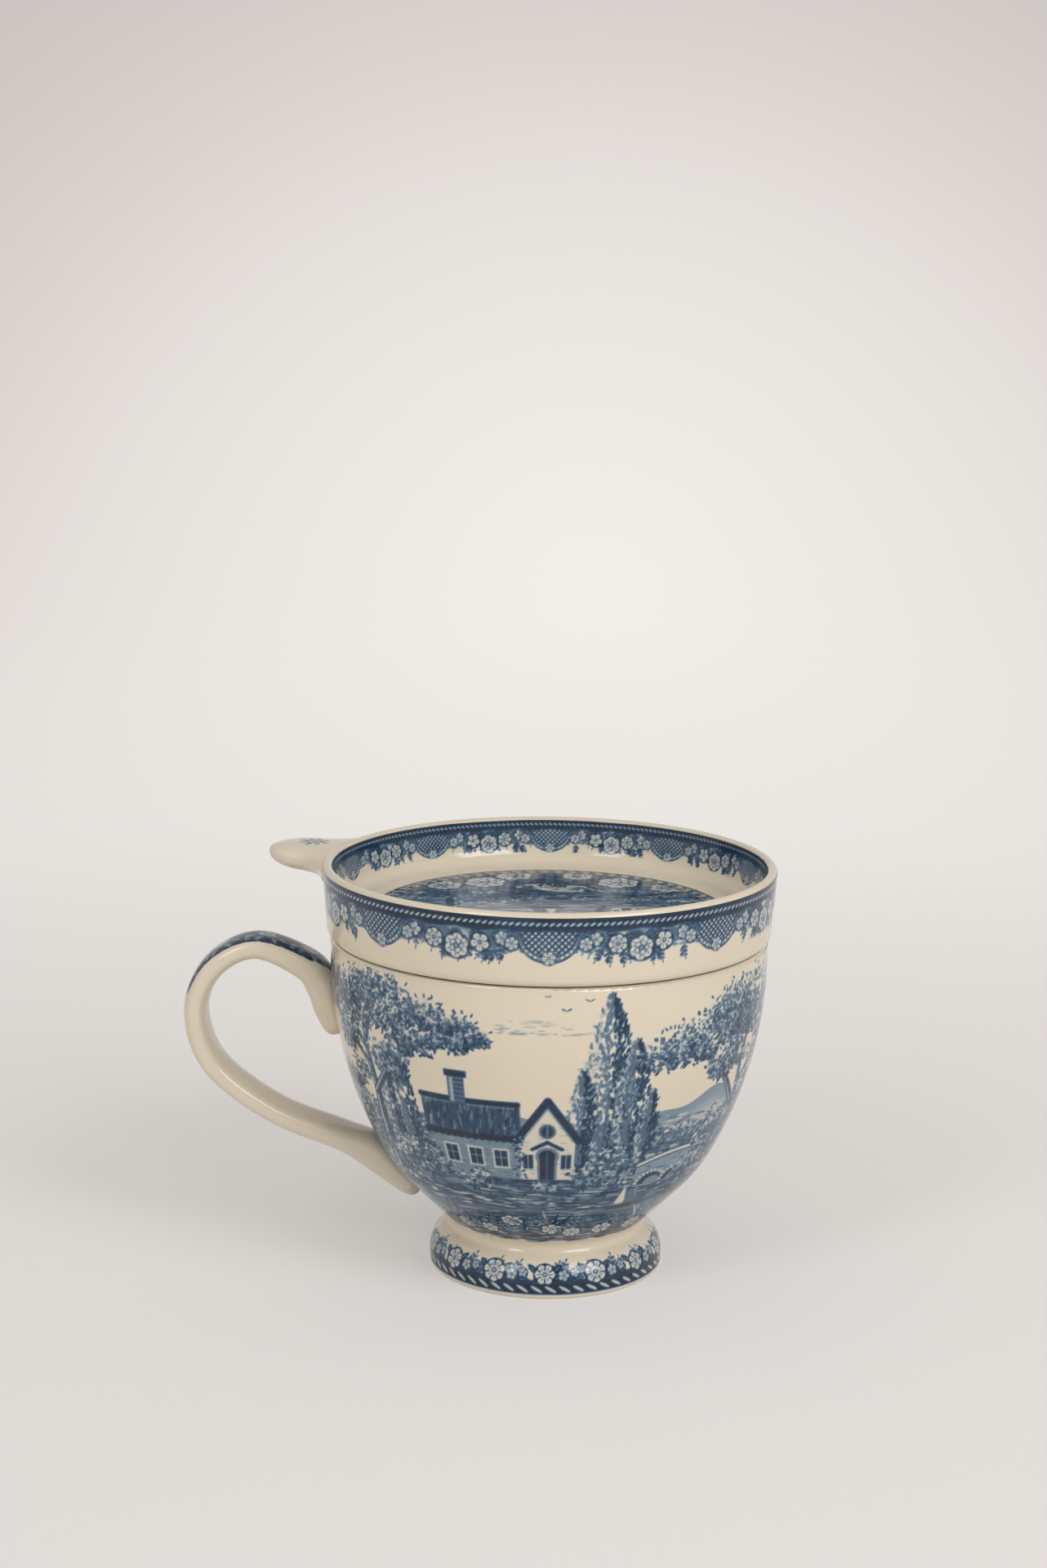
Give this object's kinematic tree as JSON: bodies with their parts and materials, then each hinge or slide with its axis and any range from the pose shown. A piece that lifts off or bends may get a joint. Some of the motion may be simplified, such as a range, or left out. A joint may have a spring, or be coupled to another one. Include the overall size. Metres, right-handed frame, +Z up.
{
  "type": "lidded tea mug with infuser",
  "caption": "Footed tea mug with a strap handle, a dish-shaped lift-off lid with a thumb tab, and a hanging perforated infuser basket.",
  "frame": {"origin": "on the mug's axis, in the plane the foot ring stands on", "axes": "+Z up; the handle points to -X, so +X is the side away from the handle"},
  "size_m": [0.1415, 0.108, 0.0996],
  "materials": {
    "earthenware": "clear glaze over a blue transfer print",
    "infuser_steel": "polished stainless steel"
  },
  "bodies": {
    "mug": {"mug_bowl": "earthenware", "pedestal_foot": "earthenware", "handle": "earthenware"},
    "infuser": {"infuser_flange": "infuser_steel", "infuser_sleeve": "infuser_steel", "infuser_base": "infuser_steel", "infuser_ear_front": "infuser_steel", "infuser_ear_back": "infuser_steel"},
    "lid": {"lid_dish": "earthenware", "thumb_tab": "earthenware"}
  },
  "joints": [
    {"name": "infuser_lift", "type": "slide", "parent": "mug", "child": "infuser", "axis": [0, 0, 1], "range_m": [0, 0.062]},
    {"name": "lid_lift", "type": "slide", "parent": "infuser", "child": "lid", "axis": [0, 0, 1], "range_m": [0, 0.06]}
  ]
}
